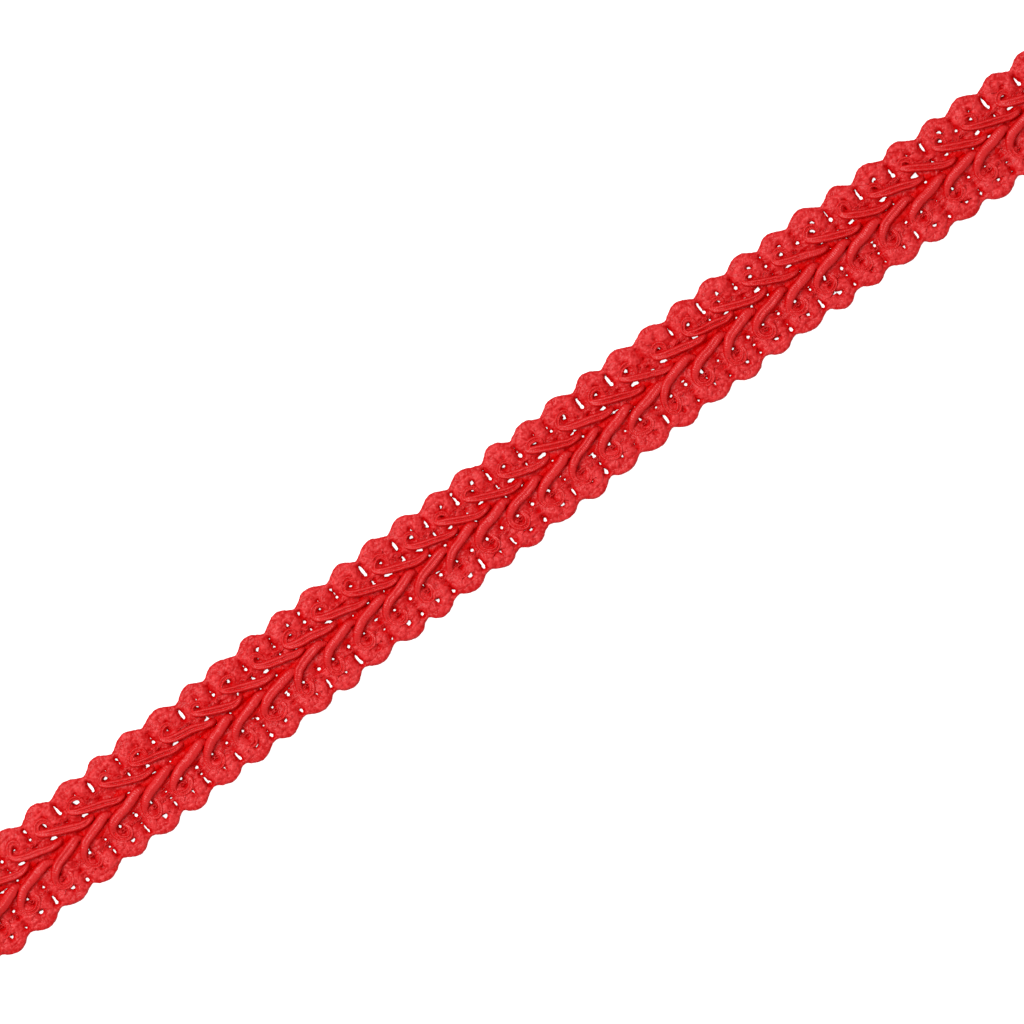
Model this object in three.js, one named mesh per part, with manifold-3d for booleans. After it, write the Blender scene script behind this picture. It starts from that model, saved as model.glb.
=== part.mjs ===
// A cut length of flat gimp braid, in millimetres, lying on its back with its face up.
//
// Two gimp cords make it, one for each side. On the face each cord comes out of the spine as a long slanting
// arm, curls once round a small eye, and goes back under its own arm to the spine, where the next arm starts.
// A second, fluffy cord hangs a wide loop round every curl, and these loops make the two scalloped edges.
// The solid is one closed strip. Its top is a relief of both cords, and its underside is flat.
//
// +X runs along the braid, the way its chevrons point, +Y across it and +Z out of its face. The origin is in
// the middle of the underside.

import * as THREE from "three";
import { mergeVertices } from "three/addons/utils/BufferGeometryUtils.js";
import Module from "manifold-3d";

// Driving sizes
const repeats = 36;
const pitch = 4.4; // one scallop to the next
const length = repeats * pitch;
const tip = 6.0; // the spine line to a scallop's tip
const scallop = 0.98; // a scallop's tip above the valley beside it
const firstEye = 1.64; // the middle of the length to the nearest eye on the upper side
const spine = 0.4; // the line where the two sides meet, off the middle of the braid
const spineRise = 0.7; // the height of that line
const stitchLine = 2.8; // where a thread stitches each side's cords together, off the middle of the braid
const ground = 0.55; // the flattened cords that lie between and under the raised ones
const rim = 0.5; // the height at which an edge loop is widest
const rimInset = 0.3; // how far the flat underside stays inside the rim
const columnsPerRepeat = 8;

// The gimp cord's route in one repeat, from the spine out along the arm, round the eye and back to the spine.
// along is measured from the eye's scallop, out from the braid's middle and rise up from the underside.
const upperRoute = [
  { along: 4.55, out: 1.1, rise: 0.7 },
  { along: 4.4, out: 0.86, rise: 1.05 },
  { along: 3.5, out: 0.82, rise: 1.3 },
  { along: 2.5, out: 1.1, rise: 1.35 },
  { along: 1.5, out: 1.47, rise: 1.35 },
  { along: 0.5, out: 1.87, rise: 1.35 },
  { along: -0.4, out: 2.35, rise: 1.25 },
  { along: -0.93, out: 2.9, rise: 1.15 },
  { along: -0.9, out: 3.5, rise: 1.15 },
  { along: -0.5, out: 3.93, rise: 1.15 },
  { along: 0.1, out: 3.97, rise: 1.15 },
  { along: 0.6, out: 3.55, rise: 1.1 },
  { along: 0.72, out: 2.95, rise: 0.8 },
  { along: 0.55, out: 2.1, rise: 0.5 },
  { along: 0.25, out: 1.5, rise: 0.5 },
];
const lowerRoute = [
  { along: 4.55, out: 0.35, rise: 0.7 },
  { along: 4.3, out: 0.08, rise: 1.05 },
  { along: 3.6, out: 0.02, rise: 1.3 },
  { along: 2.6, out: 0.33, rise: 1.4 },
  { along: 1.6, out: 0.62, rise: 1.4 },
  { along: 0.6, out: 0.84, rise: 1.4 },
  { along: -0.2, out: 1.2, rise: 1.35 },
  { along: -0.85, out: 1.8, rise: 1.25 },
  { along: -1.12, out: 2.5, rise: 1.1 },
  { along: -0.98, out: 3.15, rise: 1.1 },
  { along: -0.55, out: 3.6, rise: 1.1 },
  { along: 0.0, out: 3.72, rise: 1.1 },
  { along: 0.6, out: 3.45, rise: 1.1 },
  { along: 0.88, out: 2.9, rise: 0.85 },
  { along: 0.75, out: 2.1, rise: 0.5 },
  { along: 0.4, out: 1.1, rise: 0.5 },
];
// The fluffy cord's route in one repeat, from the ground between two scallops round one and back.
const loopRoute = [
  { along: 2.1, out: 1.45, rise: 0.5 },
  { along: 1.6, out: 1.9, rise: 0.5 },
  { along: 1.48, out: 2.8, rise: 0.55 },
  { along: 1.55, out: 3.8, rise: 0.6 },
  { along: 1.45, out: 4.65, rise: 0.6 },
  { along: 0.85, out: 5.25, rise: 0.6 },
  { along: 0, out: 5.42, rise: 0.6 },
  { along: -0.95, out: 5.25, rise: 0.6 },
  { along: -1.6, out: 4.65, rise: 0.6 },
  { along: -1.7, out: 3.8, rise: 0.6 },
  { along: -1.6, out: 2.8, rise: 0.55 },
  { along: -1.85, out: 1.9, rise: 0.5 },
];
const loopRadius = { across: 0.62, up: 0.6 };

// The relief's rows from the spine to the edge. ridge is how far along an arm or a curl's left side is there,
// so that the columns follow the arms, and edge is the share of the scallop that the row takes up.
const sides = [
  {
    sign: 1,
    shift: firstEye,
    cord: { route: upperRoute, across: 0.4, up: 0.36 },
    rows: [
      { out: 0.85, ridge: 3.7, edge: 0 },
      { out: 1.3, ridge: 2.0, edge: 0 },
      { out: 1.85, ridge: 0.55, edge: 0 },
      { out: 2.6, ridge: -0.65, edge: 0 },
      { out: 3.25, ridge: -1.0, edge: 0 },
      { out: 3.98, ridge: -1.0, edge: 0 },
      { out: 4.62, ridge: -1.1, edge: 0.6 },
      { out: tip - scallop, ridge: -1.1, edge: 1 },
    ],
  },
  {
    sign: -1,
    shift: firstEye + pitch / 2,
    cord: { route: lowerRoute, across: 0.46, up: 0.4 },
    rows: [
      { out: 0.05, ridge: 3.7, edge: 0 },
      { out: 0.5, ridge: 2.0, edge: 0 },
      { out: 0.95, ridge: 0.35, edge: 0 },
      { out: 1.75, ridge: -0.8, edge: 0 },
      { out: 2.8, ridge: -1.1, edge: 0 },
      { out: 3.7, ridge: -1.1, edge: 0 },
      { out: 4.62, ridge: -1.1, edge: 0.6 },
      { out: tip - scallop, ridge: -1.1, edge: 1 },
    ],
  },
];
const ridgeColumn = 2; // the column that runs on the arms
const spineRidge = 4.6; // how far along the columns of the arms meet the spine

// The braid lies in a shallow bow: how far its middle is off a straight line, at every third scallop.
const bow = [-0.48, -0.37, -0.24, -0.09, 0.16, 0.26, 0.25, 0.37, 0.4, 0.32, -0.18, -0.68, -0.95];

// The bow's offset at a place along the braid.
function bowAt(x) {
  const share = THREE.MathUtils.clamp(x / length + 0.5, 0, 1) * (bow.length - 1);
  const i = Math.min(Math.floor(share), bow.length - 2);
  const t = share - i;
  const [p0, p1, p2, p3] = [bow[i - 1] ?? bow[i], bow[i], bow[i + 1], bow[i + 2] ?? bow[i + 1]];
  const v1 = (p2 - p0) / 2;
  const v2 = (p3 - p1) / 2;
  return (2 * p1 - 2 * p2 + v1 + v2) * t ** 3 + (-3 * p1 + 3 * p2 - 2 * v1 - v2) * t ** 2 + v1 * t + p1;
}

// No two scallops are quite alike: they wander by a smooth sum of two waves, from -1 to 1. rate is a wave's
// turn in one repeat, in radians.
const waves = [
  { share: 0.6, rate: 2.3, lead: 1 },
  { share: 0.4, rate: 3.9, lead: 2.1 },
];
function wander(x, phase) {
  return waves.reduce((sum, w) => sum + w.share * Math.sin((w.rate * x) / pitch + w.lead * phase), 0);
}
const slip = 0.13; // how far a scallop wanders along the braid
const stretch = 0.016; // the share by which it wanders across

// A place in the even pattern, moved to where the uneven braid has it.
function laid(x, out, side) {
  const slid = x + slip * wander(x, side.sign) * Math.min(1, out / stitchLine);
  const reach = out * (1 + stretch * wander(x, 3 * side.sign));
  return [slid, side.sign * reach + bowAt(slid)];
}

// A cord's line through one repeat and its neighbours, with the cord's section.
function around(route, across, up) {
  const neighbours = 2;
  const stepsPerPoint = 6;
  const points = [];
  for (let i = neighbours; i >= -neighbours; i--) {
    for (const p of route) points.push(new THREE.Vector3(p.along + i * pitch, p.out, p.rise));
  }
  const line = new THREE.CatmullRomCurve3(points).getPoints(points.length * stepsPerPoint);
  return { line, across, up };
}

// The height of the topmost cord over a place in the even pattern, or the ground where there is none. A cord
// has a flattened round top, and its sides run down to the ground.
function reliefAt(cords, along, out) {
  const x = along - pitch * Math.round(along / pitch);
  let height = ground;
  for (const cord of cords) {
    for (const p of cord.line) {
      const away = Math.hypot(p.x - x, p.y - out) / cord.across;
      if (away < 1) height = Math.max(height, ground + (p.z + cord.up - ground) * (1 - away ** 4));
    }
  }
  return height;
}

// The scalloped edge: 0 in a valley and 1 at a tip.
function scallopAt(along) {
  return 0.5 + 0.5 * Math.cos((2 * Math.PI * along) / pitch);
}

// The strip before it is cut to length. It starts and ends past both cuts, because its columns slant.
function strip() {
  const spareRepeats = 3;
  const columns = (repeats + 2 * spareRepeats) * columnsPerRepeat;
  const step = pitch / columnsPerRepeat;
  const start = -length / 2 - spareRepeats * pitch;
  const vertices = [];
  const triangles = [];
  const put = (x, y, z) => vertices.push(x, y, z) / 3 - 1;
  const quad = (a, b, c, d) => triangles.push(a, b, c, a, c, d);

  const spineRow = [];
  const grids = sides.map((side) => {
    const cords = [
      around(side.cord.route, side.cord.across, side.cord.up),
      around(loopRoute, loopRadius.across, loopRadius.up),
    ];
    return { side, cords, rows: side.rows.map(() => []), under: [] };
  });
  for (let c = 0; c <= columns; c++) {
    const base = start + (c - ridgeColumn) * step;
    const spineX = base + spineRidge + firstEye;
    spineRow.push(put(spineX, spine + bowAt(spineX), spineRise));
    for (const { side, cords, rows, under } of grids) {
      side.rows.forEach((row, r) => {
        const along = base + row.ridge;
        const out = row.out + row.edge * scallop * scallopAt(along);
        const last = r === side.rows.length - 1;
        const height = last ? rim : reliefAt(cords, along, out);
        const [x, y] = laid(along + side.shift, out, side);
        rows[r].push(put(x, y, height));
        if (last) {
          const [bx, by] = laid(along + side.shift, out - rimInset, side);
          under.push(put(bx, by, 0));
        }
      });
    }
  }
  const [upper, lower] = grids;
  const across = [
    upper.under,
    ...[...upper.rows].reverse(),
    spineRow,
    ...lower.rows,
    lower.under,
    upper.under, // closes the ring across the flat underside
  ];
  for (let c = 0; c < columns; c++) {
    for (let r = 0; r + 1 < across.length; r++) {
      quad(across[r][c], across[r + 1][c], across[r + 1][c + 1], across[r][c + 1]);
    }
  }
  const ring = across.slice(0, -1);
  for (const [c, facing] of [
    [0, 1],
    [columns, -1],
  ]) {
    const hub = ring[0][c];
    for (let r = 1; r + 1 < ring.length; r++) {
      const fan = [hub, ring[r][c], ring[r + 1][c]];
      triangles.push(...(facing > 0 ? fan.reverse() : fan));
    }
  }
  return { vertices, triangles };
}

const wasm = await Module();
wasm.setup();

function solid(vertices, triangles) {
  const vertProperties = new Float32Array(vertices);
  const triVerts = new Uint32Array(triangles);
  return new wasm.Manifold(new wasm.Mesh({ numProp: 3, vertProperties, triVerts }));
}

// The block between the two cuts, with room to spare around the strip.
function cutBlock() {
  const box = new THREE.BoxGeometry(length, 4 * tip, 4 * tip);
  box.deleteAttribute("normal");
  box.deleteAttribute("uv");
  const merged = mergeVertices(box);
  return solid(merged.attributes.position.array, merged.index.array);
}

// A solid as a geometry with its box centred on the origin along and across, and its underside at 0.
function centred(body) {
  const mesh = body.getMesh();
  const geometry = new THREE.BufferGeometry();
  geometry.setAttribute("position", new THREE.BufferAttribute(mesh.vertProperties, 3));
  geometry.setIndex(new THREE.BufferAttribute(mesh.triVerts, 1));
  geometry.computeBoundingBox();
  const middle = geometry.boundingBox.getCenter(new THREE.Vector3());
  geometry.translate(-middle.x, -middle.y, -geometry.boundingBox.min.z);
  geometry.computeVertexNormals();
  return geometry;
}

const raw = strip();
const braid = new THREE.Mesh(
  centred(solid(raw.vertices, raw.triangles).intersect(cutBlock())),
  new THREE.MeshStandardMaterial({ color: 0xd42d2e, roughness: 0.7, metalness: 0 }),
);
braid.name = "braid";

const part = new THREE.Group();
part.add(braid);
export default part;
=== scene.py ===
# %% [markdown]
# # A cut length of gimp braid
# Gimp braid is a narrow flat trimming that hides the tacks and seams of upholstery and costumes. This one is
# red, 12 mm wide and 158 mm long. A machine lays two kinds of cord and stitches them flat side by side:
# a firm wound cord, the gimp, which makes the chevron of arms and the curls, and a soft fluffy cord,
# which hangs a loop round every curl and so makes the two scalloped edges.
# We start with the frame: the plain solid of the braid, in metres, that our cords have to fit.

import bmesh
import bpy
import numpy as np
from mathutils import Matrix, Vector


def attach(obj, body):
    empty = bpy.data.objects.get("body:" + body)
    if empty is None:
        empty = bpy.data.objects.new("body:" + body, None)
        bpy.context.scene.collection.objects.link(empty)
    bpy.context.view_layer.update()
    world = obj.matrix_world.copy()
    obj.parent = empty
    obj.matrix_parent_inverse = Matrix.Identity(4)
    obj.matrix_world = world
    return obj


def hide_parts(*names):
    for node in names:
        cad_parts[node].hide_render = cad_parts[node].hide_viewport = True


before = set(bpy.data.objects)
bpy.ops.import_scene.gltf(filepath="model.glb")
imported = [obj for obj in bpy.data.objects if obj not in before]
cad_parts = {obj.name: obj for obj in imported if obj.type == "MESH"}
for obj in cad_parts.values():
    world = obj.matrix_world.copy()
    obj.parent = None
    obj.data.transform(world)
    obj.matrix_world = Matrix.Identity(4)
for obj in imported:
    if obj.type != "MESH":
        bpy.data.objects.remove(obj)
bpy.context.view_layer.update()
MM = 0.001

# %% [markdown]
# ## The sizes that everything follows
# One scallop comes every 4.4 mm, and the lower side's scallops lie half a repeat behind the upper side's.
# The braid wasn't ironed straight: it lies in a shallow bow, and no two scallops are quite alike. We write
# that as a map: a route is first drawn in an even pattern, along and out from the middle, and `laid` then
# moves it to where the real, uneven braid has it. The same map shaped the solid, so both agree.

# %% Sizes and the uneven lie
PITCH = 4.4
REPEATS = 36
LENGTH = REPEATS * PITCH
TIP = 6.0
SCALLOP = 0.98
FIRST_EYE = 1.64
STITCH_LINE = 2.8
BOW = np.array([-0.48, -0.37, -0.24, -0.09, 0.16, 0.26, 0.25, 0.37, 0.4, 0.32, -0.18, -0.68, -0.95])
WAVES = [{"share": 0.6, "rate": 2.3, "lead": 1.0}, {"share": 0.4, "rate": 3.9, "lead": 2.1}]
SLIP = 0.13
STRETCH = 0.016
SIDES = {
    "upper": {"sign": 1, "shift": FIRST_EYE},
    "lower": {"sign": -1, "shift": FIRST_EYE + PITCH / 2},
}


def bow_at(x):
    share = np.clip(x / LENGTH + 0.5, 0, 1) * (len(BOW) - 1)
    i = np.minimum(np.floor(share).astype(int), len(BOW) - 2)
    t = share - i
    p0, p1, p2, p3 = (BOW[np.clip(i + d, 0, len(BOW) - 1)] for d in (-1, 0, 1, 2))
    v1, v2 = (p2 - p0) / 2, (p3 - p1) / 2
    return (2 * p1 - 2 * p2 + v1 + v2) * t**3 + (-3 * p1 + 3 * p2 - 2 * v1 - v2) * t**2 + v1 * t + p1


def wander(x, phase):
    return sum(w["share"] * np.sin(w["rate"] * x / PITCH + w["lead"] * phase) for w in WAVES)


def laid(along, out, side):
    sign = SIDES[side]["sign"]
    x = along + SIDES[side]["shift"]
    slid = x + SLIP * wander(x, sign) * np.minimum(1, out / STITCH_LINE)
    reach = out * (1 + STRETCH * wander(x, 3 * sign))
    return slid, sign * reach + bow_at(slid)


def rim_extent(side):
    along = np.arange(-LENGTH / 2, LENGTH / 2, PITCH / 8)
    out = TIP - SCALLOP / 2 + SCALLOP / 2 * np.cos(2 * np.pi * along / PITCH)
    return laid(along, out, side)[1]


MIDDLE = (rim_extent("upper").max() + rim_extent("lower").min()) / 2
print("the braid's middle line lies", round(-MIDDLE, 3), "mm off the middle of its box")

# %% [markdown]
# ## Helpers for node trees
# Geometry Nodes will sweep the cords and place the stitches, and shader nodes will colour them. Both kinds
# of tree are built in the same way: add a node, set its options, and give each input a value or a link. The
# helper `node` does all three, so that the cells below read like a recipe. `grow` runs a finished tree on a
# mesh: it sets the inputs by their identifiers, evaluates once, and keeps only the plain mesh that comes out.

# %% Node helpers
def node(tree, kind, sockets=(), **settings):
    made = tree.nodes.new(kind)
    for name, value in settings.items():
        setattr(made, name, value)
    for name, value in dict(sockets).items():
        socket = made.inputs[name]
        if isinstance(value, bpy.types.NodeSocket):
            tree.links.new(value, socket)
        else:
            socket.default_value = value
    return made


def maths(tree, operation, a, b=0.0, c=0.0):
    return node(tree, "ShaderNodeMath", {0: a, 1: b, 2: c}, operation=operation).outputs[0]


def new_tree(name, inputs):
    tree = bpy.data.node_groups.new(name, "GeometryNodeTree")
    tree.interface.new_socket("Geometry", in_out="INPUT", socket_type="NodeSocketGeometry")
    for label, kind in inputs.items():
        tree.interface.new_socket(label, in_out="INPUT", socket_type="NodeSocket" + kind)
    tree.interface.new_socket("Geometry", in_out="OUTPUT", socket_type="NodeSocketGeometry")
    return tree, node(tree, "NodeGroupInput").outputs


def grow(name, mesh, tree, values):
    """Runs a tree on a mesh and returns the result as a plain mesh object."""
    raw = bpy.data.objects.new(name + "_raw", mesh)
    bpy.context.scene.collection.objects.link(raw)
    modifier = raw.modifiers.new("grow", "NODES")
    modifier.node_group = tree
    for item in tree.interface.items_tree:
        if item.in_out == "INPUT" and item.name in values:
            modifier[item.identifier] = values[item.name]
    evaluated = raw.evaluated_get(bpy.context.evaluated_depsgraph_get())
    plain = bpy.data.meshes.new_from_object(evaluated)
    bpy.data.objects.remove(raw)
    piece = bpy.data.objects.new(name, plain)
    bpy.context.scene.collection.objects.link(piece)
    return piece


print("helpers: node, maths, new_tree, grow")

# %% [markdown]
# ## The line that a cord follows
# A cord's route is a short table: the few places, in one repeat, that it goes through, each with its height
# above the table top and half the cord's width and height there. `cord_line` repeats the table along the
# braid, lets the hand of the machine drift a little with a fixed seed, rounds it all with a Catmull-Rom
# spline, and maps it to the uneven lie. The result is a chain of points and edges, which is all that a
# sweeping tree needs. The routes run about two repeats past both cuts, so that the ends can be cut through
# whole cords later on.

# %% From a route to a line
SPARE = 2
COLUMNS = ["along", "out", "rise", "width", "height", "groove"]


def spline(points, steps):
    p0, p1, p2, p3 = points[:-3, None], points[1:-2, None], points[2:-1, None], points[3:, None]
    t = (np.arange(steps) / steps)[None, :, None]
    steep = (-p0 + 3 * p1 - 3 * p2 + p3) * t**3
    bent = (2 * p0 - 5 * p1 + 4 * p2 - p3) * t**2
    straight = (p2 - p0) * t + 2 * p1
    return ((steep + bent + straight) / 2).reshape(-1, points.shape[1])


def drift(rng, rows, every):
    """Slow random deviations of about one unit, with a new one every few rows."""
    knots = rng.normal(0, 1, (rows // every + 4, len(COLUMNS)))
    return spline(knots, every)[:rows]


def cord_line(route, side, seed, loose, order=1):
    rng = np.random.default_rng(seed)
    cells = np.arange(-REPEATS // 2 - SPARE, REPEATS // 2 + SPARE + 1)[::order]
    table = np.array(route, float)
    rows = np.concatenate([table + [cell * PITCH, 0, 0, 0, 0, 0] for cell in cells])
    rows = rows + drift(rng, len(rows), loose["every"]) * loose["amount"]
    line = spline(rows, steps=6)
    x, y = laid(line[:, 0], line[:, 1], side)
    return np.column_stack([x, y - MIDDLE, line[:, 2:]])


def chain_mesh(name, lines):
    mesh = bpy.data.meshes.new(name)
    edges, start = [], 0
    for line in lines:
        edges += [(start + i, start + i + 1) for i in range(len(line) - 1)]
        start += len(line)
    points = np.concatenate(lines)
    mesh.from_pydata((points[:, :3] * MM).tolist(), edges, [])
    for label, values in zip(COLUMNS[3:], points[:, 3:].T):
        mesh.attributes.new(label, "FLOAT", "POINT").data.foreach_set("value", values.astype(np.float32))
    return mesh


print("a route is repeated", REPEATS + 2 * SPARE + 1, "times")

# %% [markdown]
# ## A tree that sweeps a cord
# A bevelled curve could be swept only with a round section of one thickness. Our cords are pressed flat, get
# wider and narrower on their way, and one kind is doubled, with two ridges and a groove between them. So the
# tree sweeps a plain round tube first, and then moves every point of it: sideways by the cord's width, up or
# down by its height, with the top shaped into twin ridges where the route asks for a groove. After that, two
# noises push the skin in and out, a coarse one for crinkles and a fine one for fluff. The tree also stores
# what later cells need: how far along and around the cord each point is, how exposed it lies, and where the
# cord's own centre is.

# %% The cord tree
CORD_INPUTS = {
    "Ring Step": "Float",
    "Sides": "Int",
    "Fullness": "Float",
    "Crinkle": "Float",
    "Crinkle Size": "Float",
    "Fluff": "Float",
    "Fluff Size": "Float",
    "Material": "Material",
}
cord_tree, given = new_tree("sweep a cord", CORD_INPUTS)


def position(tree):
    return node(tree, "GeometryNodeInputPosition").outputs[0]


def captured(tree, geometry, kind, label, value):
    capture = node(tree, "GeometryNodeCaptureAttribute")
    capture.capture_items.new(kind, label)
    tree.links.new(geometry, capture.inputs["Geometry"])
    tree.links.new(value, capture.inputs[label])
    return capture.outputs["Geometry"], capture.outputs[label]


def named(tree, label):
    found = node(tree, "GeometryNodeInputNamedAttribute", {"Name": label}, data_type="FLOAT")
    return found.outputs["Attribute"]


def stored(tree, geometry, label, value, kind):
    return node(
        tree,
        "GeometryNodeStoreNamedAttribute",
        {"Geometry": geometry, "Name": label, "Value": value},
        data_type=kind,
    ).outputs[0]


print("inputs of the cord tree:", list(CORD_INPUTS))

# %% [markdown]
# ## A plain tube along the line
# The chain of points becomes a curve, gets a point at every even step, and is swept with a circle. Three
# things are captured while they can still be told: the length walked so far, the centre of the cord, and the
# place on the circle. Once curve and circle have become one mesh, all of them would be lost.

# %% Sweep the tube
chain = node(cord_tree, "GeometryNodeMeshToCurve", {"Mesh": given["Geometry"]})
even = node(
    cord_tree,
    "GeometryNodeResampleCurve",
    {"Curve": chain.outputs[0], "Length": given["Ring Step"]},
    mode="LENGTH",
)
level = node(cord_tree, "GeometryNodeSetCurveNormal", {"Curve": even.outputs[0]}, mode="Z_UP")
length = node(cord_tree, "GeometryNodeSplineParameter").outputs["Length"]
line, along = captured(cord_tree, level.outputs[0], "FLOAT", "along", length)
line, centre = captured(cord_tree, line, "VECTOR", "centre", position(cord_tree))
circle = node(cord_tree, "GeometryNodeCurvePrimitiveCircle", {"Resolution": given["Sides"], "Radius": MM})
ring, around = captured(cord_tree, circle.outputs[0], "VECTOR", "around", position(cord_tree))
tube = node(
    cord_tree, "GeometryNodeCurveToMesh", {"Curve": line, "Profile Curve": ring, "Fill Caps": True}
).outputs[0]

print("nodes so far:", len(cord_tree.nodes))

# %% [markdown]
# ## Pressing the tube into its section
# `lift` says how high a point of the tube lies, from -1 to 1. A power below 1 makes the section fuller, as
# crushed yarn is. For the doubled cord, the top half follows two arches instead of one: going from the outer
# side to the middle, the height rises to a ridge halfway and falls back into the groove. How high a point
# lies in its section is also kept as `exposed`, because the gimp's colour paints shade with it: a deeper red
# in the groove and on the cord's low sides as painted shade, and a lighter red on the ridges as painted
# highlight.

# %% Press the tube
spoke = node(cord_tree, "ShaderNodeVectorMath", {0: position(cord_tree), 1: centre}, operation="SUBTRACT")
part = node(cord_tree, "ShaderNodeSeparateXYZ", {0: spoke.outputs[0]})
lift = maths(cord_tree, "DIVIDE", part.outputs["Z"], MM)
full = maths(cord_tree, "POWER", maths(cord_tree, "ABSOLUTE", lift), given["Fullness"])
shaped = maths(cord_tree, "MULTIPLY", maths(cord_tree, "SIGN", lift), full)
off_middle = maths(
    cord_tree, "SQRT", maths(cord_tree, "SUBTRACT", 1.0, maths(cord_tree, "MULTIPLY", lift, lift))
)
off_strand = maths(cord_tree, "MULTIPLY_ADD", off_middle, 2.0, -1.0)
twin = maths(cord_tree, "SUBTRACT", 1.0, maths(cord_tree, "MULTIPLY", off_strand, off_strand))
on_top = maths(cord_tree, "MULTIPLY", named(cord_tree, "groove"), maths(cord_tree, "GREATER_THAN", lift, 0.0))
# exposed: the height in the section, which shapes the cord and also sets its painted shade and painted
# highlight
exposed = maths(cord_tree, "MULTIPLY_ADD", maths(cord_tree, "SUBTRACT", twin, shaped), on_top, shaped)
height = maths(cord_tree, "MULTIPLY", exposed, named(cord_tree, "height"))
tube, exposed = captured(cord_tree, tube, "FLOAT", "exposed", exposed)
width = named(cord_tree, "width")
section = node(
    cord_tree,
    "ShaderNodeCombineXYZ",
    {
        "X": maths(cord_tree, "MULTIPLY", part.outputs["X"], width),
        "Y": maths(cord_tree, "MULTIPLY", part.outputs["Y"], width),
        "Z": maths(cord_tree, "MULTIPLY", height, MM),
    },
)
placed = node(cord_tree, "ShaderNodeVectorMath", {0: centre, 1: section.outputs[0]}, operation="ADD")
pressed = node(
    cord_tree, "GeometryNodeSetPosition", {"Geometry": tube, "Position": placed.outputs[0]}
).outputs[0]
print("nodes so far:", len(cord_tree.nodes))

# %% [markdown]
# ## Crinkles, fluff and the end of the tree
# Two noises push the skin along its normal. The tree ends by storing what the later cells read, smoothing the
# shading, making instances real and setting the material.

# %% Crinkle the skin and end the tree
in_mm = node(
    cord_tree, "ShaderNodeVectorMath", {0: position(cord_tree), "Scale": 1 / MM}, operation="SCALE"
).outputs[0]


def push(size, amount):
    scale = maths(cord_tree, "DIVIDE", 1.0, size)
    noise = node(cord_tree, "ShaderNodeTexNoise", {"Vector": in_mm, "Scale": scale, "Detail": 1.0})
    centred = maths(cord_tree, "SUBTRACT", noise.outputs["Fac"], 0.5)
    return maths(cord_tree, "MULTIPLY", centred, amount)


crinkle = push(given["Crinkle Size"], given["Crinkle"])
fluff = push(given["Fluff Size"], given["Fluff"])
outward = node(
    cord_tree,
    "ShaderNodeVectorMath",
    {
        0: node(cord_tree, "GeometryNodeInputNormal").outputs[0],
        "Scale": maths(cord_tree, "MULTIPLY", maths(cord_tree, "ADD", crinkle, fluff), MM),
    },
    operation="SCALE",
)
skin = node(
    cord_tree, "GeometryNodeSetPosition", {"Geometry": pressed, "Offset": outward.outputs[0]}
).outputs[0]
skin = stored(cord_tree, skin, "along", along, "FLOAT")
skin = stored(cord_tree, skin, "around", around, "FLOAT_VECTOR")
skin = stored(cord_tree, skin, "exposed", exposed, "FLOAT")
skin = stored(cord_tree, skin, "centre", centre, "FLOAT_VECTOR")
smooth = node(cord_tree, "GeometryNodeSetShadeSmooth", {"Geometry": skin})
real = node(cord_tree, "GeometryNodeRealizeInstances", {"Geometry": smooth.outputs[0]})
dressed = node(
    cord_tree, "GeometryNodeSetMaterial", {"Geometry": real.outputs[0], "Material": given["Material"]}
)
node(cord_tree, "NodeGroupOutput", {"Geometry": dressed.outputs[0]})
print("the cord tree has", len(cord_tree.nodes), "nodes")

# %% [markdown]
# ## The finish of the yarns
# Both cords are viscose dyed one red. What tells them apart is how light plays on them. The wound cord is
# smooth: fine turns of yarn lie side by side across it, so its material waves with the stored length along
# the cord. The fluffy cord is drawn out of loose fibres, and so a noise that is longer along the cord than
# around it breaks its surface into flecks, which also vary its tone at random. Shade and highlight are
# painted
# into the colour as well: it is a deeper red wherever the yarn lies low, as painted shade, and a lighter,
# pinker red on the tops, as painted highlight. It follows the height of the flecks and turns, of the point in
# its cord's section, and of the place above the table. A bump is enough for all this, because the turns and
# fibres are finer than 0.3 mm.

# %% The surface of a yarn
def red_yarn(name, roughness, gloss):
    material = bpy.data.materials.new(name)
    material.use_nodes = True
    tree = material.node_tree
    tree.nodes.clear()
    surface = node(tree, "ShaderNodeBsdfPrincipled", {"Roughness": roughness, "Specular IOR Level": gloss})
    node(tree, "ShaderNodeOutputMaterial", {"Surface": surface.outputs[0]})
    return material, tree, surface


def attribute(tree, name, output="Fac"):
    return node(tree, "ShaderNodeAttribute", attribute_name=name).outputs[output]


print("a yarn's material starts with one principled surface")

# %% [markdown]
# ## Patterns for yarn
# `fibres` is an even noise on Object coordinates. `drawn_out` is laid on the cord's own skin, by the stored
# length and place on the circle, and can be quicker one way than the other. The dye helper turns a height
# into a red between a deep one, painted shade for low places, and a light one, painted highlight for high
# places, on top of the random tone of the noises; `raise_it` turns the height into a bump.

# %% Fibres, streaks, dye with painted shade and highlight, and bump
FIBRE_DETAIL = 1.5
STREAK_DETAIL = 2.0


def fibres(tree, scale, roughness):
    place = node(tree, "ShaderNodeTexCoord").outputs["Object"]
    noise = {"Vector": place, "Scale": scale, "Detail": FIBRE_DETAIL, "Roughness": roughness}
    return node(tree, "ShaderNodeTexNoise", noise).outputs["Fac"]


def drawn_out(tree, along_rate, around_rate):
    """A noise laid on the skin of a cord, quicker one way than the other: turns, creases or streaks."""
    along = maths(tree, "MULTIPLY", attribute(tree, "along"), along_rate / MM)
    around = attribute(tree, "around", "Vector")
    round_it = node(tree, "ShaderNodeVectorMath", {0: around, "Scale": around_rate / MM}, operation="SCALE")
    place = node(
        tree,
        "ShaderNodeVectorMath",
        {0: round_it.outputs[0], 1: node(tree, "ShaderNodeCombineXYZ", {"X": along}).outputs[0]},
        operation="ADD",
    )
    noise = {"Vector": place.outputs[0], "Scale": 1.0, "Detail": STREAK_DETAIL}
    return node(tree, "ShaderNodeTexNoise", noise).outputs["Fac"]


# Random tone, with painted shade and painted highlight: low values give the deep red, high values the light
# red.
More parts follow.
